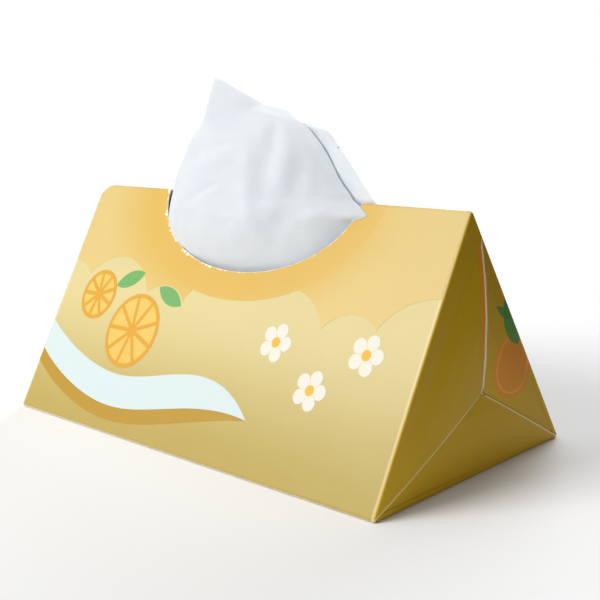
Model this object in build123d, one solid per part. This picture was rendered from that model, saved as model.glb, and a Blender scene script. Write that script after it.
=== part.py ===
"""Three-sided tissue carton, folded from one card blank, with its tissues.

The carton is a long prism on three equal panels, standing on one of them. Its fold at
the top is the ridge. X runs along the ridge, the front panel faces -Y and Z is up. The
origin is the middle of the base, and all sizes are in millimetres.
"""

import os
from math import cos, pi, radians, sin, sqrt, tan

from build123d import *

# Carton
box_length = 230.0
panel_width = 121.0          # fold to fold, the same on the base and both slopes
board = 0.5
bend_radius = 1.2            # outside of every fold
blunt_radius = 9.0           # the ridge's left corner, pushed in by handling
glue_flap_width = 14.0
glue_flap_end_gap = 6.0

# Opening, an oval punched across the ridge
opening_half_length = 61.0
opening_half_width = 37.0    # measured down each slope

# End closures, three flaps that lie over each other in turn
seam_offset = 5.4            # the upright seam stands this far behind the ridge
meeting_height = 32.5        # where the three flaps meet
seam_bow = 2.2               # how far the seam bows out of the end
crease_bow = 1.0
flap_step = 0.45             # from the outside of one flap to that of the flap below
tuck_share = 0.15            # of the next flap's width, hidden below it
flap_tip = 6.0               # how far the flaps' tips reach past where they meet
fold_land = 1.5

# Folded tissues that are left in the carton
pile_length = 205.0
pile_height = 17.0
pile_clearance = 0.8         # to the slopes, at the top of the pile

# Popped-up sheet
sheet = 0.6                  # both plies and the air between them, as one soft wall
sheet_foot = 66.0            # half its spread where it leaves the pile
sheet_foot_depth = 4.0
sheet_side_gap = 3.0         # to each end of the opening
sheet_sill_gap = 1.6         # to the inside of the card, at the opening's lower edge
sheet_front = 17.5           # how far it swells forward through the opening
sheet_swell_rise = 15.0      # from the opening's lower edge up to where it swells most
sheet_front_at_ridge = 15.5
sheet_front_at_peak = 4.0
sheet_back = 8.5
sheet_back_at_peak = 3.0
sheet_right_lean = 38.0      # how far its right side comes in on the way to the peak
sheet_gap_angle = 12         # degrees, half the gap between its two free edges on the right
sheet_fold = 1.3             # depth of its upright folds above the ridge
sheet_fold_count = 7
sheet_bands = 6              # above the ridge
peak_height = 155.5
peak_x = -24.0
right_foot_height = 104.0    # where the free edges reach the opening's right end
front_ply_edge = [(4, 144), (26, 138.5), (44, 121), (57, 109.5)]     # x, z down from the peak
back_ply_edge = [(16, 139.6), (38, 131.5)]

# Printed fields, in colours that lie beside each other on the slopes
ink = 0.08
gold_depth = 66.0            # down each slope, less the hills that rise into it
hill_radius = 24.0
hill_count = 7
halo_width = 13.0            # deeper gold round the opening
wheel_radius = 18.0
rind = 2.0
wheel_segments = 9
blossom_radius = 8.5
petal_radius = 3.2
leaf_length = 20.0
large_wheel_at = (-52, -72)  # places on a slope, along the ridge and up from it
small_wheel_at = (-86, -58)
small_wheel_scale = 0.7
blossoms_at = [(40, -64), (66, -80), (88, -62)]
leaves_at = [(-66, -48), (-34, -53)]
leaf_turns = [25, -20]       # degrees
ribbon_crest = [(0, 47), (30, 34), (70, 28), (115, 36), (153, 23)]    # from the base fold's left end
ribbon_width = 15.0
ribbon_edge = 6.5            # the darker band along its lower side

slope_sin = sqrt(3) / 2
slope_cos = 0.5
ridge_height = panel_width * slope_sin
ridge_top = ridge_height - bend_radius
half_length = box_length / 2
sill_height = ridge_height - opening_half_width * slope_sin
pile_top = board + pile_height

front_panel = Plane((0, 0, ridge_height), x_dir=(1, 0, 0), z_dir=(0, -slope_sin, slope_cos))
back_panel = Plane((0, 0, ridge_height), x_dir=(-1, 0, 0), z_dir=(0, slope_sin, slope_cos))


def inner_corners(inset):
    """Front, back and ridge corners of the cross-section, moved inwards by inset."""
    reach = panel_width / 2 - inset / slope_cos * slope_sin
    return Vector(0, -reach, inset), Vector(0, reach, inset), Vector(0, 0, ridge_height - 2 * inset)


def triangle(inset):
    """Sharp cross-section of the carton, on the YZ plane."""
    return make_face(Polyline(*inner_corners(inset), close=True))


def block(inset):
    """The carton as a solid, its faces moved inwards by inset, with rounded folds."""
    radius = bend_radius - inset
    solid = extrude(triangle(inset), half_length - inset, both=True, dir=(1, 0, 0))
    solid = fillet(solid.edges(), radius)
    return solid - blunting(inset)


def blunting(inset):
    """What the pushed-in corner takes off the left end of the ridge."""
    centre_x = -half_length + blunt_radius
    centre_z = ridge_top - blunt_radius
    reach = 2 * blunt_radius
    corner = Pos(centre_x - reach / 2, 0, centre_z + reach / 2) * Box(reach, reach, reach)
    roller = Pos(centre_x, 0, centre_z) * Rot(90, 0, 0) * Cylinder(blunt_radius - inset, 2 * reach)
    return corner - roller


def opening_outline(margin=0.0):
    """The oval on one slope's plane, which its upper half leaves over the ridge."""
    return Ellipse(opening_half_length + margin, opening_half_width + margin)


def through_slopes(outline, depth):
    """A slope's outline as a prism through each slope, both stopping at the ridge's middle."""
    size = (2 * box_length, panel_width, 2 * ridge_height)
    front = extrude(front_panel * outline, depth, both=True)
    back = extrude(back_panel * outline, depth, both=True)
    front &= Pos(0, -panel_width / 2, ridge_height) * Box(*size)
    back &= Pos(0, panel_width / 2, ridge_height) * Box(*size)
    return front + back


def closure_corners():
    """Front, back and seam corners of the area that the end flaps fill, at x = 0."""
    front, back, ridge = inner_corners(bend_radius)
    seam_top = Vector(0, seam_offset, ridge.Z - seam_offset * slope_sin / slope_cos)
    return front, back, seam_top


def end_window():
    """What the end flaps fill of both end faces, less a land to join them to."""
    filled = make_face(Polyline(*closure_corners(), close=True))
    return extrude(offset(filled, -fold_land), box_length, both=True, dir=(1, 0, 0))


def along(edge, share):
    """Point on a flap's edge, a share of the way from its corner to where the flaps meet."""
    corner, bow = edge
    meeting = Vector(half_length, seam_offset, meeting_height)
    return corner + (meeting - corner) * share + Vector(4 * bow * share * (1 - share), 0, 0)


def card_between(first, second):
    """Card as thick as the board, lofted between two rows of points on its outside."""
    through = Vector(-board, 0, 0)
    slices = [
        make_face(Polyline(a, b, b + through, a + through, close=True))
        for a, b in zip(first, second)
    ]
    return loft(slices, ruled=True)


def end_flap(over, under, beyond):
    """One end flap, with the strip of it that is tucked below the next flap.

    The flap lies over its neighbour along the edge over and runs below the next flap
    at the edge under. The edge beyond is the far one of that next flap.
    """
    drop = Vector(-flap_step, 0, 0)
    free_edge = []
    covered_edge = []
    tucked_edge = []
    for share in (0, 0.25, 0.5, 0.75, 0.96):
        free_edge.append(along(over, share))
        start = along(under, share)
        far = along(beyond, share) + drop
        covered_edge.append(start + drop)
        tucked_edge.append(start + (far - start) * tuck_share + drop)
    return card_between(free_edge, covered_edge) + card_between(covered_edge, tucked_edge)


def end_closure():
    """The right end's three flaps: front over base, base over back, back over front."""
    front, back, seam_top = (corner + Vector(half_length, 0, 0) for corner in closure_corners())
    left_crease = (front, crease_bow)
    seam = (seam_top, seam_bow)
    right_crease = (back, crease_bow)
    front_flap = end_flap(left_crease, seam, right_crease)
    back_flap = end_flap(seam, right_crease, left_crease)
    base_flap = end_flap(right_crease, left_crease, seam)
    tips = Pos(half_length - flap_step, seam_offset, meeting_height) * Rot(0, 90, 0)
    tips *= Cylinder(flap_tip, board, align=(Align.CENTER, Align.CENTER, Align.MAX))
    return front_flap + back_flap + base_flap + tips


def glue_flap():
    """The blank's glued lap, inside the back panel along the base fold."""
    length = box_length - 2 * glue_flap_end_gap
    lap = Box(length, glue_flap_width, board, align=(Align.CENTER, Align.MIN, Align.MAX))
    return back_panel * Pos(0, -panel_width + 2 * bend_radius, -board) * lap


def build_carton():
    """The folded card: three panels, closed ends, glued lap and punched opening."""
    shell = block(0) - block(board) - end_window()
    closure = end_closure()
    closures = closure + mirror(closure, about=Plane.YZ) - blunting(0)
    opening = through_slopes(opening_outline(), 4 * board)
    return shell + closures + glue_flap() - opening


def build_tissue_pile():
    """The folded sheets that are left, lying on the base as one stack."""
    half_width = slope_reach(pile_top) - board / slope_sin - pile_clearance
    pile = Pos(0, 0, board) * Box(
        pile_length, 2 * half_width, pile_height, align=(Align.CENTER, Align.CENTER, Align.MIN)
    )
    return fillet(pile.edges().filter_by(Axis.X), pile_height / 8)


def slope_reach(height):
    """Half the depth of the carton's cross-section at a height."""
    return (ridge_height - height) / slope_sin * slope_cos


def sheet_line(height, left, right, front, back, fold):
    """Line round the sheet at a height, from its front free edge by the left to its back one."""
    centre = (left + right) / 2
    half = (right - left) / 2
    first = radians(360 - sheet_gap_angle)
    last = radians(sheet_gap_angle)
    points = []
    steps = 8 * sheet_fold_count
    for step in range(steps + 1):
        angle = first + (last - first) * step / steps
        depth = front if sin(angle) < 0 else back
        wave = fold * sin(sheet_fold_count * angle)
        points.append((centre + half * cos(angle), depth * sin(angle) + wave, height))
    return points


def sheet_slice(height, left, right, front, back, fold=0.0):
    """Level slice through the sheet's wall, open between its free edges on the right."""
    outside = sheet_line(height, left, right, front, back, fold)
    inside = sheet_line(height, left + sheet, right - sheet, front - sheet, back - sheet, fold)
    return make_face(Polyline(*outside, *reversed(inside), close=True))


def sheet_wall():
    """The popped-up sheet before its slanted upper edges are cut."""
    waist = opening_half_length - sheet_side_gap
    sill_front = slope_reach(sill_height) - board / slope_sin - sheet_sill_gap
    swell_height = sill_height + sheet_swell_rise
    slices = [
        sheet_slice(pile_top, -sheet_foot, sheet_foot, sheet_foot_depth, sheet_foot_depth),
        sheet_slice(sill_height, -waist, waist, sill_front, sheet_back),
        sheet_slice(swell_height, -waist, waist, sheet_front, sheet_back),
    ]
    for band in range(sheet_bands + 1):
        share = band / sheet_bands
        height = ridge_height + (peak_height + 1 - ridge_height) * share
        left = -waist + (peak_x + waist) * sin(pi / 2 * share)
        right = waist - sheet_right_lean * share ** 2
        front = sheet_front_at_ridge + (sheet_front_at_peak - sheet_front_at_ridge) * share
        back = sheet_back + (sheet_back_at_peak - sheet_back) * share
        slices.append(sheet_slice(height, left, right, front, back, sheet_fold * sin(pi * share)))
    return loft(slices, ruled=True)


def side_prism(points, near, far):
    """A side view outline, x against z, as a prism between two depths along Y."""
    outline = make_face(Polyline(*points, close=True))
    return extrude(Plane((0, far, 0), x_dir=(1, 0, 0), z_dir=(0, -1, 0)) * outline, far - near)


def build_top_tissue():
    """The popped-up sheet: doubled round its left side, free at its top and right edges."""
    right_foot = (opening_half_length - sheet_side_gap, right_foot_height)
    below = [
        (half_length, sill_height),
        (half_length, 0),
        (-half_length, 0),
        (-half_length, ridge_height),
        (peak_x, peak_height),
    ]
    front_part = side_prism(below + front_ply_edge + [right_foot], -panel_width / 2, 0)
    back_part = side_prism(below + back_ply_edge + [right_foot], 0, panel_width / 2)
    return sheet_wall() & (front_part + back_part)


def gold_field():
    """The upper field of the print, with round hills rising into its lower edge."""
    field = Pos(0, -gold_depth / 2 + bend_radius) * Rectangle(box_length, gold_depth)
    spacing = box_length / (hill_count - 1)
    for number in range(hill_count):
        radius = hill_radius * (1 + 0.25 * sin(2.3 * number))
        field -= Pos(-half_length + number * spacing, -gold_depth) * Circle(radius)
    return field


def lowered_crest(drop):
    """The ribbon's upper line moved down the slope, still ending at the ribbon's tip."""
    line = [(x - half_length, height - panel_width - drop) for x, height in ribbon_crest]
    line[-1] = (line[-1][0], line[-1][1] + drop)
    return line


def ribbon(upper, lower):
    """A band between two smooth lines that meet at the band's right-hand tip."""
    rim = Spline(*upper) + Spline(*lower)
    return make_face(rim + Line(upper[0], lower[0]))


def citrus_wheel(radius):
    """Cut citrus: a disc of rind, and the wedges of flesh inside it."""
    half_angle = radians(180 / wheel_segments)
    reach = 2 * radius
    sector = Polyline(
        (0, 0),
        (reach, -reach * tan(half_angle)),
        (reach, reach * tan(half_angle)),
        close=True,
    )
    wedge = offset(Circle(radius - rind / 2) & make_face(sector), -rind / 2)
    flesh = [Rot(0, 0, 360 / wheel_segments * number) * wedge for number in range(wheel_segments)]
    return Circle(radius), Sketch() + flesh


def blossom():
    """Five-petalled flower."""
    petal = Pos(blossom_radius - petal_radius, 0) * Circle(petal_radius)
    petal += Circle(petal_radius)
    return Sketch() + [Rot(0, 0, 72 * number) * petal for number in range(5)]


def leaf():
    """Pointed leaf, the overlap of two circles."""
    radius = 0.75 * leaf_length
    aside = sqrt(radius ** 2 - (leaf_length / 2) ** 2)
    return Pos(0, aside) * Circle(radius) & Pos(0, -aside) * Circle(radius)


def print_fields():
    """Each colour's area on a slope, less the colours printed over it.

    The origin is the middle of the ridge fold, with X along the ridge and Y up the slope.
    """
    large_disc, large_flesh = citrus_wheel(wheel_radius)
    small_disc, small_flesh = citrus_wheel(small_wheel_scale * wheel_radius)
    large_place = Pos(*large_wheel_at)
    small_place = Pos(*small_wheel_at)
    leaves = [Pos(*place) * Rot(0, 0, turn) * leaf() for place, turn in zip(leaves_at, leaf_turns)]
    upper = lowered_crest(0)
    middle = lowered_crest(ribbon_width)
    lower = lowered_crest(ribbon_width + ribbon_edge)
    layers = {
        "print_white": [Pos(*place) * blossom() for place in blossoms_at],
        "print_green": leaves,
        "print_flesh": [large_place * large_flesh, small_place * small_flesh],
        "print_orange": [large_place * large_disc, small_place * small_disc],
        "print_ribbon": [ribbon(upper, middle)],
        "print_brown": [ribbon(middle, lower)],
        "print_deep_gold": [opening_outline(halo_width)],
        "print_gold": [gold_field()],
    }
    panel = Pos(0, -panel_width / 2) * Rectangle(2 * (half_length - bend_radius), panel_width)
    room = panel - opening_outline()
    fields = {}
    for node, shapes in layers.items():
        area = (Sketch() + shapes) & room
        fields[node] = area
        room -= area
    return fields


def write(node, shape):
    export_step(shape, f"parts/{node}.step")


def main():
    os.makedirs("parts", exist_ok=True)
    write("carton", build_carton())
    write("tissue_pile", build_tissue_pile())
    write("top_tissue", build_top_tissue())
    card = block(0)
    inked_card = block(-ink)
    for node, area in print_fields().items():
        write(node, (through_slopes(area, 2 * bend_radius) & inked_card) - card)


main()
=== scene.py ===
"""Looks of the tissue carton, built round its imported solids.

Sizes are in millimetres, and MM turns them into metres. The places of the lights and the bare
numbers of the material nodes are in metres.
"""

from collections import namedtuple
from math import cos, exp, hypot, pi, radians, sin, sqrt

import bpy
from mathutils import Matrix, Vector, noise


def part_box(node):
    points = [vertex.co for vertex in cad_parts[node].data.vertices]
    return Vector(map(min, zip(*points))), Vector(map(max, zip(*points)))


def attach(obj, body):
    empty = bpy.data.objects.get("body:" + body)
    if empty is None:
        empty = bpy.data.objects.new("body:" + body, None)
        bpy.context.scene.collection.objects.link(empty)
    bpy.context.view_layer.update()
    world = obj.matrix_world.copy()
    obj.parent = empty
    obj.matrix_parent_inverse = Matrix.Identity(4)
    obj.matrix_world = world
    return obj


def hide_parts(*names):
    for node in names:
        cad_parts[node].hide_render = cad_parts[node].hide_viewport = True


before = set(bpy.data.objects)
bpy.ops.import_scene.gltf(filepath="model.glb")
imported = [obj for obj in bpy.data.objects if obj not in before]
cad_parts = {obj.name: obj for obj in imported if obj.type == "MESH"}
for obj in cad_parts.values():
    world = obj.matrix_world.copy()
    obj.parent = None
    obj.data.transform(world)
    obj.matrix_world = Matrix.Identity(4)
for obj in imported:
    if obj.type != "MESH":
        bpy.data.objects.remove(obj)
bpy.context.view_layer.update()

MM = 0.001

# Carton
HALF_LENGTH = 115.0              # from the middle to an end's edges
RIDGE = 104.789                  # height of the sharp ridge fold
SIN60 = sqrt(3) / 2
OVAL = (61.0, 37.0)              # half length and, down each slope, half width of the opening
SILL = RIDGE - OVAL[1] * SIN60   # lowest edge of the opening
BOARD = 0.5
END_CORNER = (58.42, 1.2)        # place across and height of an end's lower corners
SEAM_Y = 5.4                     # upright seam of an end
SEAM_TOP = 93.0
MEETING_Z = 32.5                 # where an end's three flaps meet, at the foot of the seam

# Tissues
PILE_TOP = 17.5
PILE_LAYERS = 20
SHEET_TOP = 155.25
SECOND_PLY = 0.45                # how far the sheet's second ply lies inside the first

# View
EYE = (357.1, -334.4, 158.0)     # place the photograph was taken from
SIGHT_DROP = 0.14                # how steeply EYE looks down on the sheet
AZIMUTH, ELEVATION, ROLL = radians(44.99), radians(11.79), radians(-2.336)
LENS = 66.5
FLOOR_REACH = 1400.0
FLOOR_FADE = (0.15, 0.36)        # metres from the middle, from all floor to none
LIT_MIDDLE = (0, 0, 0.06)        # metres, where the lights point to


def clamp(value, low=0.0, high=1.0):
    return max(low, min(high, value))


def smooth(value, start, end):
    """0 at start, 1 at end, with a smooth step between."""
    t = clamp((value - start) / (end - start))
    return t * t * (3 - 2 * t)


def tangent(before, after):
    """Slope of a smooth curve at a point, from the slopes on both sides of it."""
    return 0.0 if before * after <= 0 else 2 * before * after / (before + after)


def through(points, x):
    """Smooth curve through points that rise in their first number, at x."""
    if x <= points[0][0]:
        return points[0][1]
    if x >= points[-1][0]:
        return points[-1][1]
    slopes = [(d - b) / (c - a) for (a, b), (c, d) in zip(points, points[1:])]
    i = next(k for k in range(len(slopes)) if x <= points[k + 1][0])
    (x0, y0), (x1, y1) = points[i], points[i + 1]
    h = x1 - x0
    m0 = tangent(slopes[i - 1], slopes[i]) if i > 0 else slopes[i]
    m1 = tangent(slopes[i], slopes[i + 1]) if i + 1 < len(slopes) else slopes[i]
    t = (x - x0) / h
    return ((2 * t ** 3 - 3 * t * t + 1) * y0 + (t ** 3 - 2 * t * t + t) * h * m0
            + (-2 * t ** 3 + 3 * t * t) * y1 + (t ** 3 - t * t) * h * m1)


def slope_y(z):
    """Half the depth of the carton's outside at a height."""
    return (RIDGE - z) / SIN60 * 0.5


def to_object(name, verts, faces):
    mesh = bpy.data.meshes.new(name)
    mesh.from_pydata([Vector(v) * MM for v in verts], [], faces)
    mesh.validate()
    for polygon in mesh.polygons:
        polygon.use_smooth = True
    obj = bpy.data.objects.new(name, mesh)
    bpy.context.collection.objects.link(obj)
    return obj


# Colours and material nodes

def srgb(r, g, b):
    """A colour from its 0 to 255 values on screen."""
    return tuple(((c / 255 + 0.055) / 1.055) ** 2.4 if c > 10 else c / 255 / 12.92 for c in (r, g, b))


def ink(r, g, b):
    """A printed colour, which sends back a little less light than its value on screen."""
    return tuple(0.78 * c for c in srgb(r, g, b))


class Nodes:
    """A few short calls for building a material's node tree."""

    def __init__(self, name):
        self.mat = bpy.data.materials.new(name)
        self.mat.use_nodes = True
        self.tree = self.mat.node_tree
        self.bsdf = self.tree.nodes["Principled BSDF"]
        self.coords = self.new("ShaderNodeTexCoord").outputs["Object"]
        self.axes = self.new("ShaderNodeSeparateXYZ", Vector=self.coords).outputs

    def new(self, kind, **values):
        """A node of a kind, with values for its inputs by name."""
        node = self.tree.nodes.new(kind)
        for name, value in values.items():
            self.feed(node.inputs[name], value)
        return node

    def feed(self, socket, value):
        """Sets an input to a number or a colour, or links a node's output to it."""
        if isinstance(value, tuple):
            socket.default_value = value if socket.type == "VECTOR" else (*value, 1)
        elif isinstance(value, (int, float)):
            socket.default_value = value
        else:
            self.tree.links.new(value, socket)

    def math(self, operation, *values, clamped=False):
        node = self.new("ShaderNodeMath")
        node.operation = operation
        node.use_clamp = clamped
        for socket, value in zip(node.inputs, values):
            self.feed(socket, value)
        return node.outputs[0]

    def product(self, *values):
        result = values[0]
        for value in values[1:]:
            result = self.math("MULTIPLY", result, value)
        return result

    def noise(self, scale, detail=3.0, roughness=0.5, stretch=None):
        source = self.coords
        if stretch:
            mapping = self.new("ShaderNodeMapping", Vector=self.coords, Scale=stretch)
            source = mapping.outputs["Vector"]
        node = self.new("ShaderNodeTexNoise", Vector=source, Scale=scale, Detail=detail,
                        Roughness=roughness)
        return node.outputs["Fac"]

    def ramp(self, value, start, end, low=0.0, high=1.0, soft=True):
        """Low up to start, high from end on."""
        node = self.new("ShaderNodeMapRange", Value=value)
        node.interpolation_type = "SMOOTHSTEP" if soft else "LINEAR"
        for key, number in (("From Min", start), ("From Max", end), ("To Min", low), ("To Max", high)):
            node.inputs[key].default_value = number
        return node.outputs["Result"]

    def mix(self, factor, a, b):
        """Colour a where the factor is 0, and b where it is 1."""
        node = self.new("ShaderNodeMix")
        node.data_type = "RGBA"
        self.feed(node.inputs["Factor"], factor)
        for key, value in (("A", a), ("B", b)):
            self.feed(next(s for s in node.inputs if s.name == key and s.type == "RGBA"), value)
        return next(s for s in node.outputs if s.type == "RGBA")

    def bump(self, height, distance, strength, below=None):
        node = self.new("ShaderNodeBump", Height=height, Distance=distance, Strength=strength)
        if below is not None:
            self.feed(node.inputs["Normal"], below)
        return node.outputs["Normal"]

    def length(self, a, b):
        squares = self.math("ADD", self.math("MULTIPLY", a, a), self.math("MULTIPLY", b, b))
        return self.math("SQRT", squares)

    def distance(self, a, b, at):
        """Distance of the point (a, b) from a place, in metres."""
        return self.length(self.math("SUBTRACT", a, at[0] * MM), self.math("SUBTRACT", b, at[1] * MM))

    def oval(self, a, b, at, halves):
        """0 in the middle of an oval and 1 on its edge."""
        return self.length(
            self.math("DIVIDE", self.math("SUBTRACT", a, at[0] * MM), halves[0] * MM),
            self.math("DIVIDE", self.math("SUBTRACT", b, at[1] * MM), halves[1] * MM),
        )

    def disc(self, a, b, at, radius, blur=0.12):
        """1 inside a circle and 0 outside it."""
        return self.ramp(self.distance(a, b, at), (radius + blur) * MM, (radius - blur) * MM)

    def between(self, value, low, high, blur):
        """1 where a place lies between low and high, and 0 elsewhere."""
        return self.product(self.ramp(value, (low - blur) * MM, (low + blur) * MM),
                            self.ramp(value, (high + blur) * MM, (high - blur) * MM))

    def strip(self, a, b, start, normal, low, high):
        """1 where the distance from a line, through start, lies between low and high."""
        across = self.math("ADD", self.product(self.math("SUBTRACT", a, start[0] * MM), normal[0]),
                           self.product(self.math("SUBTRACT", b, start[1] * MM), normal[1]))
        return self.between(across, low, high, 0.1)

    def slope_places(self):
        """Place along a slope, the same way round on both, and down it from the ridge."""
        x, y, z = self.axes
        along = self.product(x, self.product(self.math("SIGN", y), -1.0))
        down = self.math("DIVIDE", self.math("SUBTRACT", RIDGE * MM, z), SIN60)
        return along, down

    def finish(self, color, roughness, normal=None, specular=0.5):
        self.feed(self.bsdf.inputs["Base Color"], color)
        self.feed(self.bsdf.inputs["Roughness"], roughness)
        self.feed(self.bsdf.inputs["Specular IOR Level"], specular)
        if normal is not None:
            self.feed(self.bsdf.inputs["Normal"], normal)
        return self.mat

    def blend(self, share, shader):
        """Mixes a share of another shader into the finished surface."""
        mix = self.new("ShaderNodeMixShader", Fac=share)
        self.feed(mix.inputs[1], self.bsdf.outputs[0])
        self.feed(mix.inputs[2], shader.outputs[0])
        self.feed(self.tree.nodes["Material Output"].inputs["Surface"], mix.outputs[0])


# Camera, floor and light

def place_camera():
    """Camera at the photograph's angle, from numbers fitted to the carton's corners."""
    back = Vector((sin(AZIMUTH) * cos(ELEVATION), -cos(AZIMUTH) * cos(ELEVATION), sin(ELEVATION)))
    right = (-back).cross(Vector((0, 0, 1))).normalized()
    up = right.cross(-back)
    across = right * cos(ROLL) + up * sin(ROLL)
    upward = -right * sin(ROLL) + up * cos(ROLL)
    camera = bpy.data.objects.new("Camera", bpy.data.cameras.new("Camera"))
    bpy.context.collection.objects.link(camera)
    turn = Matrix((across, upward, back)).transposed().to_4x4()
    camera.matrix_world = Matrix.Translation(Vector(EYE) * MM) @ turn
    camera.data.sensor_width = 36
    camera.data.lens = LENS
    camera.data.clip_start = 0.01
    camera.data.clip_end = 20
    bpy.context.scene.camera = camera


def fading_floor(name):
    """Pale floor that holds the shadow and fades into the white background."""
    n = Nodes(name)
    n.finish((0.93, 0.93, 0.93), 0.75, specular=0.1)
    from_middle = n.tree.nodes.new("ShaderNodeVectorMath")
    from_middle.operation = "LENGTH"
    n.feed(from_middle.inputs[0], n.coords)
    fade = n.ramp(from_middle.outputs["Value"], *FLOOR_FADE)
    n.blend(fade, n.new("ShaderNodeBsdfTransparent"))
    return n.mat


def add_floor():
    rings, spokes = 24, 72
    verts = [(0, 0, 0)]
    for ring in range(1, rings + 1):
        radius = FLOOR_REACH * ring / rings
        for s in range(spokes):
            angle = 2 * pi * s / spokes
            verts.append((radius * cos(angle), radius * sin(angle), 0))
    faces = [(0, 1 + s, 1 + (s + 1) % spokes) for s in range(spokes)]
    for ring in range(rings - 1):
        for s in range(spokes):
            a, b = 1 + ring * spokes + s, 1 + ring * spokes + (s + 1) % spokes
            faces.append((a, a + spokes, b + spokes, b))
    floor = to_object("floor", verts, faces)
    floor.data.materials.append(fading_floor("floor_pale"))


def area_light(name, location, size, energy, color=(1, 1, 1), target=LIT_MIDDLE):
    light = bpy.data.lights.new(name, "AREA")
    light.shape = "SQUARE"
    light.size = size
    light.energy = energy
    light.color = color
    obj = bpy.data.objects.new(name, light)
    bpy.context.collection.objects.link(obj)
    obj.location = location
    obj.rotation_mode = "QUATERNION"
    direction = Vector(target) - Vector(location)
    obj.rotation_quaternion = direction.to_track_quat("-Z", "Y")


def white_background():
    """White where the camera sees it, and a dim sky for the light that it sends."""
    world = bpy.data.worlds.new("studio")
    bpy.context.scene.world = world
    world.use_nodes = True
    tree = world.node_tree
    tree.nodes.clear()
    out = tree.nodes.new("ShaderNodeOutputWorld")
    mix = tree.nodes.new("ShaderNodeMixShader")
    soft = tree.nodes.new("ShaderNodeBackground")
    seen_white = tree.nodes.new("ShaderNodeBackground")
    path = tree.nodes.new("ShaderNodeLightPath")
    soft.inputs["Color"].default_value = (0.93, 0.96, 1.0, 1)
    soft.inputs["Strength"].default_value = 0.10
    seen_white.inputs["Color"].default_value = (1, 1, 1, 1)
    seen_white.inputs["Strength"].default_value = 1.0
    tree.links.new(path.outputs["Is Camera Ray"], mix.inputs["Fac"])
    tree.links.new(soft.outputs[0], mix.inputs[1])
    tree.links.new(seen_white.outputs[0], mix.inputs[2])
    tree.links.new(mix.outputs[0], out.inputs["Surface"])


def light_scene():
    white_background()
    area_light("key", (-0.62, -1.10, 0.78), 0.85, 18.5, (1.0, 0.988, 0.965))
    area_light("top", (-0.25, 0.0, 1.1), 0.9, 5)
    area_light("back", (-0.40, 1.15, 0.55), 0.8, 11, (0.97, 0.985, 1.0))
    area_light("fill", (0.45, -1.15, 0.30), 0.8, 3.2, target=(0, 0, 0.08))


# Print and card

END_FACE = HALF_LENGTH - 0.9     # the flaps of an end lie beyond this place
END_GOLD = srgb(216, 172, 0), srgb(208, 166, 4)
FRUIT = (25.0, 40.0)             # middle of the printed fruit, across and up an end
FRUIT_RADIUS = 14.0
LEAF_ARC = 13.0                  # radius of the two circles whose overlap is a leaf
LEAVES = (((12.5, 52.5), (24.5, 71.5)), ((19.5, 55.0), (31.5, 60.0)))
BLOSSOMS = ((40, 64), (66, 80), (88, 62))    # along a slope and down it from the ridge


def torn_rim(n, color):
    """Pale torn fibres along the opening, most of them at its lower left."""
    along, down = n.slope_places()
    reach = n.oval(along, down, (0, 0), OVAL)
    wear = n.ramp(n.noise(330, 2, 0.6), 0.46, 0.60)
    left = n.ramp(along, 0.012, -0.030, 0.15, 1.0)
    width = n.math("ADD", n.product(wear, left, 0.030), 1.001)
    torn = n.math("LESS_THAN", reach, width)
    return n.mix(n.product(torn, 0.8), color, srgb(250, 247, 236))


def warm_glow(n, color, strength):
    """Warmer colour round the opening."""
    along, down = n.slope_places()
    near = n.oval(along, down, (-6, 6), (86, 52))
    return n.mix(n.product(n.ramp(near, 1.16, 0.72), strength), color, ink(238, 188, 66))


def printed(name, pale, deep, detail=None, glow=0.0):
    """Satin print on card: painted shade darker down the panel, fine grain and slight waves."""
    n = Nodes(name)
    # Darker towards the bottom of every panel: painted shade, as from light falling from above. The
    # noise adds a random tone.
    low = n.ramp(n.axes[2], 0.062, 0.0)
    tone_and_painted_shade = n.math("ADD", n.product(n.noise(9, 2), 0.3), n.product(low, 0.95))
    color = n.mix(n.math("SUBTRACT", tone_and_painted_shade, 0.12, clamped=True), pale, deep)
    if glow:
        color = warm_glow(n, color, glow)
    grain = n.noise(900, 3, 0.6)
    color = n.mix(n.product(grain, 0.08), color, srgb(170, 130, 50))
    scuff = n.ramp(n.noise(46, 5, 0.75), 0.70, 0.80)
    color = n.mix(n.product(scuff, 0.10), color, srgb(250, 240, 210))
    color = torn_rim(n, color)
    if detail:
        color = detail(n, color)
    waves = n.bump(n.noise(14, 1.5), 0.0012, 0.35)
    fibre = n.bump(n.noise(1500, 2, 0.6), 0.00004, 0.25, below=waves)
    rough = n.math("ADD", n.product(n.noise(60, 3), 0.10), 0.42)
    return n.finish(color, rough, fibre, specular=0.30)


def end_print(n, color):
    """The ends: deeper gold, a worn rim, a fruit, a band beside the seam, and pale creases of wear and
    painted highlight with painted shadow.
    """
    from_middle = n.math("ABSOLUTE", n.axes[0])
    on_end = n.math("GREATER_THAN", from_middle, END_FACE * MM)
    color = n.mix(on_end, color, n.mix(n.noise(40, 3), *END_GOLD))
    rim = n.between(from_middle, HALF_LENGTH - 1.65, HALF_LENGTH - 0.45, 0.35)
    color = n.mix(n.product(rim, 0.35), color, srgb(252, 240, 190))
    color = fruit_print(n, color, on_end)
    color = seam_band(n, color, on_end)
    color = end_creases(n, color, on_end)
    return seam_cut(n, color, on_end)


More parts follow.
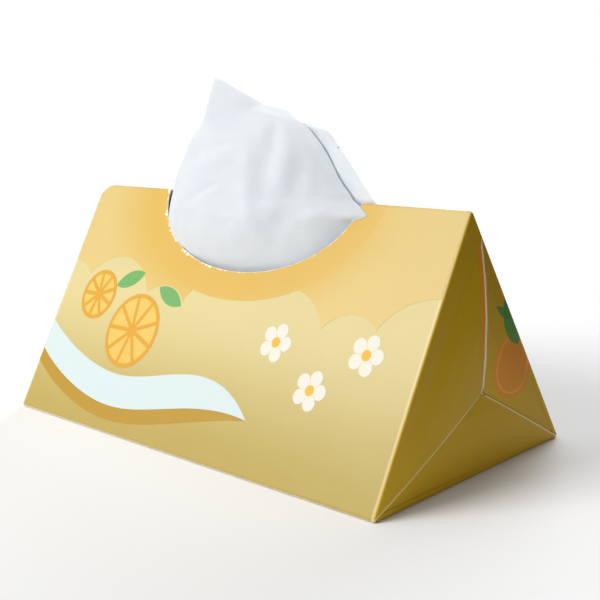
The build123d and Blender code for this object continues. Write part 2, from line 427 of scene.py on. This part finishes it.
def fruit_print(n, color, on_end):
    """A citrus fruit with a thin ring inside its edge and two leaves, behind the seam."""
    _, y, z = n.axes
    back_flap = n.product(on_end, n.math("GREATER_THAN", y, SEAM_Y * MM))
    color = n.mix(n.product(n.disc(y, z, FRUIT, FRUIT_RADIUS), back_flap, 0.9), color,
                  srgb(238, 146, 22))
    ring = n.math("SUBTRACT", n.disc(y, z, FRUIT, FRUIT_RADIUS - 2),
                  n.disc(y, z, FRUIT, FRUIT_RADIUS - 2.7))
    color = n.mix(n.product(ring, back_flap, 0.7), color, srgb(250, 196, 84))
    for one, other in LEAVES:
        leaf = n.product(n.disc(y, z, one, LEAF_ARC), n.disc(y, z, other, LEAF_ARC), back_flap)
        color = n.mix(n.product(leaf, 0.9), color, srgb(70, 150, 70))
    return color


def seam_band(n, color, on_end):
    """An orange band along the front side of the seam, fading out at its foot and its top."""
    _, y, z = n.axes
    near = n.product(n.ramp(y, 0.0024, 0.0040), n.math("LESS_THAN", y, SEAM_Y * MM))
    tall = n.product(n.ramp(z, 0.036, 0.062), n.ramp(z, 0.096, 0.088))
    return n.mix(n.product(near, tall, on_end, 0.85), color, srgb(240, 146, 14))


def seam_cut(n, color, on_end):
    """The white cut edge of the board along the seam."""
    _, y, z = n.axes
    above_meeting = n.math("GREATER_THAN", z, MEETING_Z * MM)
    below_top = n.math("LESS_THAN", z, SEAM_TOP * MM)
    cut = n.product(n.strip(y, z, (SEAM_Y, 0), (1, 0), 0.0, 0.55), above_meeting, below_top)
    return n.mix(n.product(cut, on_end, 0.9), color, srgb(246, 242, 232))


def end_creases(n, color, on_end):
    """The base flap's two edges: pale creases, part worn board and part painted highlight, with a thin
    painted shadow below them.
    """
    _, y, z = n.axes
    front = n.math("LESS_THAN", y, SEAM_Y * MM)
    back = n.math("SUBTRACT", 1.0, front)
    creases, shadows = [], []
    for side, half, width in ((-1, front, 0.7), (1, back, 0.75)):
        corner = (side * END_CORNER[0], END_CORNER[1])
        run = Vector((SEAM_Y - corner[0], MEETING_Z - corner[1])).normalized()
        normal = (-run.y, run.x)
        creases.append(n.product(n.strip(y, z, corner, normal, 0.0, width), half))
        shadows.append(n.product(n.strip(y, z, corner, normal, -0.5, 0.0), half))
    # Painted shadow in a thin strip below each crease.
    shadow = n.product(n.math("ADD", *shadows, clamped=True), on_end, 0.45)
    color = n.mix(shadow, color, srgb(120, 88, 10))
    # Pale line along each crease: part worn board, part painted highlight where the folded edge
    # catches the light.
    crease_wear_and_highlight = n.product(n.math("ADD", *creases, clamped=True), on_end, 0.72)
    return n.mix(crease_wear_and_highlight, color, srgb(246, 228, 160))


def blossom_print(n, color):
    """Golden middles and thin lines between the petals of the printed blossoms."""
    along, down = n.slope_places()
    for at in BLOSSOMS:
        around = n.math("ARCTAN2", n.math("SUBTRACT", down, at[1] * MM),
                        n.math("SUBTRACT", along, at[0] * MM))
        petal = n.math("ABSOLUTE", n.math("COSINE", n.product(around, 2.5)))
        near = n.ramp(n.distance(along, down, at), 0.0095, 0.0085)
        line = n.product(n.ramp(petal, 0.20, 0.06), near, 0.55)
        color = n.mix(line, color, srgb(226, 196, 120))
        color = n.mix(n.disc(along, down, at, 2.3, 0.2), color, srgb(240, 176, 48))
    return color


def raw_board(name):
    """The unprinted side of the board and its cut edges."""
    n = Nodes(name)
    specks = n.ramp(n.noise(700, 4, 0.7), 0.45, 0.75)
    color = n.mix(n.product(specks, 0.5), srgb(236, 234, 226), srgb(206, 200, 188))
    return n.finish(color, 0.85, n.bump(n.noise(1200, 3, 0.6), 0.00005, 0.5), specular=0.2)


def tissue_paper(name):
    """Soft two-ply tissue with creping, fine fibres and a little light through it."""
    n = Nodes(name)
    cloud = n.ramp(n.noise(55, 4, 0.6), 0.35, 0.7)
    color = n.mix(cloud, srgb(245, 248, 250), srgb(238, 242, 247))
    mottle = n.ramp(n.noise(600, 3, 0.7), 0.40, 0.62, soft=False)
    color = n.mix(n.product(mottle, 0.10), color, srgb(206, 218, 226))
    creping = n.bump(n.noise(420, 3, 0.65, stretch=(1.0, 1.0, 2.6)), 0.00016, 0.4)
    crumple = n.bump(n.noise(70, 3, 0.55), 0.0007, 0.25, below=creping)
    n.finish(color, 0.95, crumple, specular=0.1)
    n.bsdf.inputs["Sheen Weight"].default_value = 0.2
    n.bsdf.inputs["Sheen Roughness"].default_value = 0.6
    n.blend(0.32, n.new("ShaderNodeBsdfTranslucent", Color=srgb(242, 247, 252)))
    return n.mat


# Popped-up sheet

# The sheet is folded at the left and open at the right, between its front and back free edges.
# A point of an outline is a height and the place where the edge shows on the plane y = 0, seen
# from EYE. A point of a depth is a height and how far that part stands from the plane.
LEFT_FOLD = [
    (17, -66), (60, -66.5), (80, -66.2), (87.6, -64.9), (95, -62.9), (100, -60.9), (104.8, -58.4),
    (108.4, -56.8), (114.2, -53.2), (120, -48.9), (125.7, -44.8), (131.2, -39.2), (134, -36.4),
    (139.4, -32.9), (144.8, -30.3), (150.1, -27.8), (155.4, -24.6),
]
FRONT_EDGE = [
    (17, 62), (60, 58), (72, 55), (85, 53.2), (92, 53.2), (95, 54.2), (97, 55.6), (99, 57.2),
    (101.5, 57.7), (104.5, 56), (112.3, 49.4), (121.5, 43), (129.5, 36.4), (134.5, 30.5),
    (136.6, 25.5), (137.7, 21), (138.9, 14.5), (140.2, 8.5), (142, 5), (144.5, 2.6),
    (147.2, -3.5), (149.9, -10.4), (152.6, -16.2), (155.4, -24.2),
]
SECOND_EDGE = [
    (17, 61.5), (60, 57.5), (72, 54.5), (85, 52.6), (92, 52.6), (95, 53.6), (97, 55), (99, 56.6),
    (101.5, 57.2), (104.5, 55.5), (112.3, 49), (121.5, 42.6), (129.5, 36), (134.5, 30.2),
    (137, 25), (138.6, 22.8), (140.3, 20.8), (141.5, 15.5), (142.6, 8.6), (143.6, 4.8),
    (144.7, 2.2), (147.2, -3.9), (149.9, -10.8), (152.6, -16.7), (155.4, -24.3),
]
BACK_EDGE = [
    (17, 62), (60, 60), (85, 58.4), (96, 59.5), (101.5, 61.5), (106, 61.5), (110.8, 60.4),
    (117.8, 56.1), (124.9, 49.8), (132.2, 43.4), (133.2, 39), (134.5, 33.9), (136.6, 25),
    (138.2, 20), (139.6, 12), (141.6, 4), (144, 1.6), (147.2, -4.5), (149.9, -11.4),
    (152.6, -17.4), (155.4, -24.4),
]
FRONT_DEPTH = [
    (17, 4), (50, 9.5), (66, 13.2), (72, 15.4), (80, 17.6), (88, 18.4), (96, 17.6), (105, 14.6),
    (115, 11.2), (125, 8), (135, 4.6), (141, 2.8), (148, 1.7), (156, 0.9),
]
BACK_DEPTH = [
    (17, 4), (60, 8), (72, 8.5), (88, 8.5), (105, 7.2), (115, 5.6), (125, 4.2), (137, 2.2),
    (147, 1.2), (156, 0.5),
]
FRONT_EDGE_DEPTH = [
    (17, 3), (72, 4), (92, 4.2), (97, 3.9), (100, 3.2), (103, 1.4), (106, 0.3), (156, 0.25),
]
BACK_EDGE_DEPTH = [(17, 3), (80, 3.6), (95, 3.0), (101, 1.8), (105, 0.25), (156, 0.2)]

# How far the corner at the opening's right end sticks out, at a height
FRONT_TIP = [(96.4, 0), (97.2, 1.6), (99.2, 5.6), (101.9, 2.4), (104.8, 0)]
BACK_TIP = [(96.4, 0), (99, 4.5), (102, 7), (103.9, 6.3), (107, 3.5), (110.8, 1.3), (117.8, 0)]
TIP_FOOT = FRONT_TIP[0][0]

# A soft fold runs from its top to its foot, both of them places along and up as seen from EYE.
# One with a negative depth stands out.
Fold = namedtuple("Fold", "top foot width depth round_ends", defaults=(10.0,))
FRONT_FOLDS = (
    Fold((13, 136), (-2, 100), 5.8, 1.2),
    Fold((27, 118), (4, 80), 7.0, 0.8),
    Fold((-7, 128), (-9, 84), 6.0, -0.8),
    Fold((20, 128), (14, 104), 4.5, -0.3),
    Fold((-24, 148), (-30, 128), 4.0, 0.5),
    Fold((-29, 108.6), (-51, 98.5), 1.5, 0.75, 4.0),
    Fold((-27, 106), (-50, 95.0), 2.4, -0.5, 4.0),
    Fold((-14, 127), (-46, 121.5), 2.2, 0.45, 6.0),
    Fold((-18, 119.5), (-47, 114.5), 2.6, -0.4, 6.0),
    Fold((30, 99.5), (8, 94), 4.0, 0.7, 6.0),
    Fold((-20, 93.5), (-27, 91), 1.6, -0.35, 3.0),
    Fold((33, 131), (54, 106), 2.2, -0.5, 6.0),
)
BACK_FOLDS = (
    Fold((2, 139), (8, 96), 5.5, 1.7),
    Fold((24, 132), (34, 90), 6.0, -1.2),
    Fold((46, 128), (52, 96), 5.0, 0.9),
    Fold((-22, 144), (-34, 94), 5.5, 1.5),
    Fold((-8, 142), (-12, 90), 5.5, -0.9),
    Fold((-46, 112), (-18, 102), 1.8, 0.7, 5.0),
    Fold((-44, 108), (-18, 98.5), 2.4, -0.4, 5.0),
    Fold((22, 104), (48, 108), 2.4, 0.5, 5.0),
)

# One half of the sheet, front or back. The side is -1 for the front and 1 for the back.
Half = namedtuple("Half", "side depths edge edge_depths tip folds edge_power wave_seeds")
FRONT = Half(-1.0, FRONT_DEPTH, FRONT_EDGE, FRONT_EDGE_DEPTH, FRONT_TIP, FRONT_FOLDS, 2.3, (3.1, 5.2))
SECOND_FRONT = FRONT._replace(edge=SECOND_EDGE)
BACK = Half(1.0, BACK_DEPTH, BACK_EDGE, BACK_EDGE_DEPTH, BACK_TIP, BACK_FOLDS, 1.8, (8.7, 1.4))


def seen(x, y, z):
    """Where a point shows on the plane of the ridge, from EYE."""
    t = y / EYE[1]
    return (x - EYE[0] * t) / (1 - t), (z - EYE[2] * t) / (1 - t)


def fold_depth(x, z, fold):
    """How far one soft fold of the sheet stands in at a place."""
    (tx, tz), (bx, bz) = fold.top, fold.foot
    length = hypot(tx - bx, tz - bz)
    ux, uz = (bx - tx) / length, (bz - tz) / length
    along = (x - tx) * ux + (z - tz) * uz
    across = (x - tx) * uz - (z - tz) * ux
    ends = (smooth(along, -fold.round_ends, fold.round_ends)
            * smooth(length - along, -fold.round_ends, fold.round_ends))
    spread = fold.width * (0.6 + 0.8 * clamp(along / length))
    return fold.depth * ends * exp(-(across / spread) ** 2)


def folds_at(x, z, half):
    """How far the sheet stands in, towards its own inside, at a place of its front or back."""
    broad, narrow = half.wave_seeds
    wave = 0.55 * noise.noise(Vector((x / 24, z / 40, broad)))
    wave += 0.22 * noise.noise(Vector((x / 9.5, z / 15, narrow)))
    wave += 0.07 * noise.noise(Vector((x / 3.4, z / 4.6, 2.6)))
    return wave + sum(fold_depth(x, z, fold) for fold in half.folds)


Section = namedtuple("Section", "z middle radius right depth edge_depth")


def cross_section(z, half):
    """Places of one half of the sheet at a height, from the left fold to the free edge."""
    depth = through(half.depths, z)
    edge_depth = through(half.edge_depths, z)
    left = through(LEFT_FOLD, z - 1.0)
    edge_seen = through(half.edge, z + half.side * SIGHT_DROP * edge_depth)
    right = edge_seen - half.side * edge_depth * (EYE[0] - edge_seen) / -EYE[1]
    middle = left + (0.5 - 0.1 * smooth(z, 120, 150)) * (right - left)
    # The left part is an arc whose outline, as EYE sees it, lies on the left fold's line.
    sight = (EYE[0] + 20) / -EYE[1] * through(FRONT_DEPTH, z)
    radius = sqrt(max((middle - left) ** 2 - sight ** 2, 0.16 * (middle - left) ** 2))
    return Section(z, middle, radius, right, depth, edge_depth)


def sheet_point(section, half, u, inset):
    """Point of a cross-section, with u from 0 at the left fold to 1 at the free edge."""
    z, depth = section.z, section.depth
    if u < 0.5:
        angle = pi * u
        x = section.middle - (section.radius - inset) * cos(angle)
        y = (depth - inset) * sin(angle)
        fade = smooth(sin(angle), 0.05, 0.7)
    else:
        q = (u - 0.5) * 2
        x = section.middle + (section.right - section.middle) * q
        x += through(half.tip, z) * smooth(q, 0.84, 1.0)
        y = section.edge_depth + (depth - section.edge_depth) * (1 - q ** half.edge_power) - inset
        fade = 1.0 - 0.6 * smooth(q, 0.75, 1.0)
    thin = smooth(depth, 0.6, 5.0)
    free = 0.4 + 0.6 * smooth(z, SILL - 10, SILL + 8)
    y -= folds_at(*seen(x, half.side * y, z), half) * fade * thin * free
    return Vector((x, half.side * max(y, 0.15), z))


def keep_off_card(p, gap):
    """Moves a point of the sheet clear of the card: inside it, or over it at the right end."""
    down = (RIDGE - p.z) / SIN60
    if down < 0:
        return p
    reach = 0.0 if down > OVAL[1] else OVAL[0] * sqrt(1 - (down / OVAL[1]) ** 2)
    if abs(p.x) < reach - 0.4:
        return p
    wall = slope_y(p.z)
    sign = -1.0 if p.y < 0 else 1.0
    if p.x > 50 and p.z > TIP_FOOT:
        return Vector((p.x, sign * max(wall + gap, abs(p.y)), p.z))
    inside = max(wall - BOARD / SIN60 - gap, 0.2)
    return Vector((p.x, sign * min(abs(p.y), inside), p.z))


def row_heights(rows):
    """Heights of a ply's rows: wide apart inside the carton, and close above it."""
    sparse_top, sparse_share = SILL - 4, 0.16
    heights = []
    for j in range(rows + 1):
        t = j / rows
        if t < sparse_share:
            heights.append(PILE_TOP + (sparse_top - PILE_TOP) * t / sparse_share)
        else:
            heights.append(sparse_top + (SHEET_TOP - sparse_top) * (t - sparse_share)
                           / (1 - sparse_share))
    return heights


def ply(inset, front, columns=180, rows=125):
    """One ply of the sheet as a grid of points: front free edge, left fold, back free edge."""
    heights = row_heights(rows)
    sections = {half.side: [cross_section(z, half) for z in heights] for half in (front, BACK)}
    gap = 0.25 + 0.15 * inset
    verts = []
    for i in range(columns + 1):
        u = 1 - 2 * i / columns
        half = front if u > 0 else BACK
        for section in sections[half.side]:
            ragged = noise.noise(Vector((section.z / 3.0, inset * 3, 4.4))) * smooth(abs(u), 0.9, 1.0)
            p = sheet_point(section, half, abs(u), inset)
            verts.append(keep_off_card(p + Vector((0.35 * ragged, 0, 0)), gap))
    faces = []
    for i in range(columns):
        for j in range(rows):
            a = i * (rows + 1) + j
            faces.append((a, a + rows + 1, a + rows + 2, a + 1))
    return verts, faces


def build_sheet():
    verts, faces = ply(0.0, FRONT)
    inner, inner_faces = ply(SECOND_PLY, SECOND_FRONT)
    faces += [tuple(len(verts) + k for k in face) for face in inner_faces]
    obj = to_object("popped_sheet", verts + inner, faces)
    obj.data.materials.append(tissue_paper("tissue_soft"))
    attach(obj, "root")
    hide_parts("top_tissue")
    return obj


# Pile of folded sheets

def fold_outline(y0, y1, z0, step):
    """Outline of one folded sheet, seen from an end: flat, with both sides round."""
    radius = step / 2
    outline = []
    for middle_y, start in ((y1 - radius, -pi / 2), (y0 + radius, pi / 2)):
        for k in range(7):
            angle = start + pi * k / 6
            outline.append((middle_y + radius * cos(angle), z0 + radius + radius * sin(angle)))
    return outline


def build_pile():
    """Folded sheets lying on the base, each a little shorter or narrower than the pile."""
    verts, faces = [], []
    low, high = (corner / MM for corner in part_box("tissue_pile"))
    step = (high.z - low.z) / PILE_LAYERS
    slices = 9
    for layer in range(PILE_LAYERS):
        shrink = 0.25 + 0.9 * abs(noise.noise(Vector((layer * 1.7, 0.3, 0.9))))
        end_shrink = 0.3 + 1.2 * abs(noise.noise(Vector((layer * 2.3, 7.1, 0.2))))
        x0, x1 = low.x + end_shrink, high.x - end_shrink * 0.7
        outline = fold_outline(low.y + shrink, high.y - shrink * 0.8, low.z + layer * step, step)
        count = len(outline)
        start = len(verts)
        for s in range(slices):
            x = x0 + (x1 - x0) * s / (slices - 1)
            verts += [(x, y, z) for y, z in outline]
        for s in range(slices - 1):
            for k in range(count):
                a = start + s * count + k
                b = start + s * count + (k + 1) % count
                faces.append((a, b, b + count, a + count))
        faces.append(tuple(start + k for k in reversed(range(count))))
        faces.append(tuple(start + (slices - 1) * count + k for k in range(count)))
    obj = to_object("folded_pile", verts, faces)
    obj.data.materials.append(bpy.data.materials["tissue_soft"])
    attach(obj, "root")
    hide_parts("tissue_pile")


# Carton and its print

def is_outside(centre, normal):
    """True for a face of the printed side of the card."""
    x, y, z = centre
    on_flap = abs(normal.x) > 0.55
    if on_flap:
        return normal.x * x > 0 and abs(x) > HALF_LENGTH - 3
    beside_flap = abs(x) > HALF_LENGTH - 1.3 and abs(y - SEAM_Y) > 0.4
    if beside_flap:
        return True
    depth = (RIDGE - z) * 0.5 - abs(y) * SIN60       # below the plane of the slope
    on_slope = abs(depth) < BOARD / 2 and normal.z > -0.2
    on_base = z < 0.2 and normal.z < -0.3
    on_inner_side = abs(depth - BOARD) < 0.12
    faces_out = normal.dot(Vector((0, y, z - RIDGE / 3))) > 0
    on_fold = faces_out and depth < 1.6 and not on_inner_side
    return on_slope or on_base or on_fold


def build_carton():
    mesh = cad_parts["carton"].data.copy()
    mesh.name = "card_box"
    obj = bpy.data.objects.new("card_box", mesh)
    bpy.context.collection.objects.link(obj)
    mesh.materials.clear()
    mesh.materials.append(printed("card_print", ink(241, 225, 162), ink(196, 173, 88), end_print))
    mesh.materials.append(raw_board("board_raw"))
    for polygon in mesh.polygons:
        centre = polygon.center / MM
        polygon.material_index = 0 if is_outside(centre, polygon.normal) else 1
        on_bowed_flap = abs(centre.x) > HALF_LENGTH - 0.8 and abs(polygon.normal.x) > 0.97
        if on_bowed_flap:
            polygon.use_smooth = True
    mesh.set_sharp_from_angle(angle=radians(14))
    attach(obj, "root")
    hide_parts("carton")


# Each print's pale colour shows high on a panel. Its deep colour shows low down, where painted shade
# darkens the print.
PRINTS = {
    "print_white": {"pale": srgb(228, 226, 214), "deep": srgb(222, 220, 208), "detail": blossom_print},
    "print_green": {"pale": ink(120, 190, 110), "deep": ink(95, 170, 90)},
    "print_flesh": {"pale": ink(252, 214, 110), "deep": ink(250, 200, 90)},
    "print_orange": {"pale": ink(240, 178, 52), "deep": ink(234, 166, 42)},
    "print_ribbon": {"pale": srgb(208, 222, 223), "deep": srgb(200, 216, 218)},
    "print_brown": {"pale": ink(202, 160, 48), "deep": ink(196, 154, 44)},
    "print_deep_gold": {"pale": ink(243, 208, 120), "deep": ink(243, 202, 104), "glow": 0.55},
    "print_gold": {"pale": ink(243, 215, 138), "deep": ink(236, 203, 116), "glow": 0.6},
}


def finish_prints():
    for node, looks in PRINTS.items():
        mat = printed(node + "_ink", **looks)
        for material_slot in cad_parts[node].material_slots:
            material_slot.material = mat


place_camera()
add_floor()
light_scene()
bpy.context.scene.view_settings.view_transform = "Standard"
sheet = build_sheet()
build_pile()
build_carton()
finish_prints()
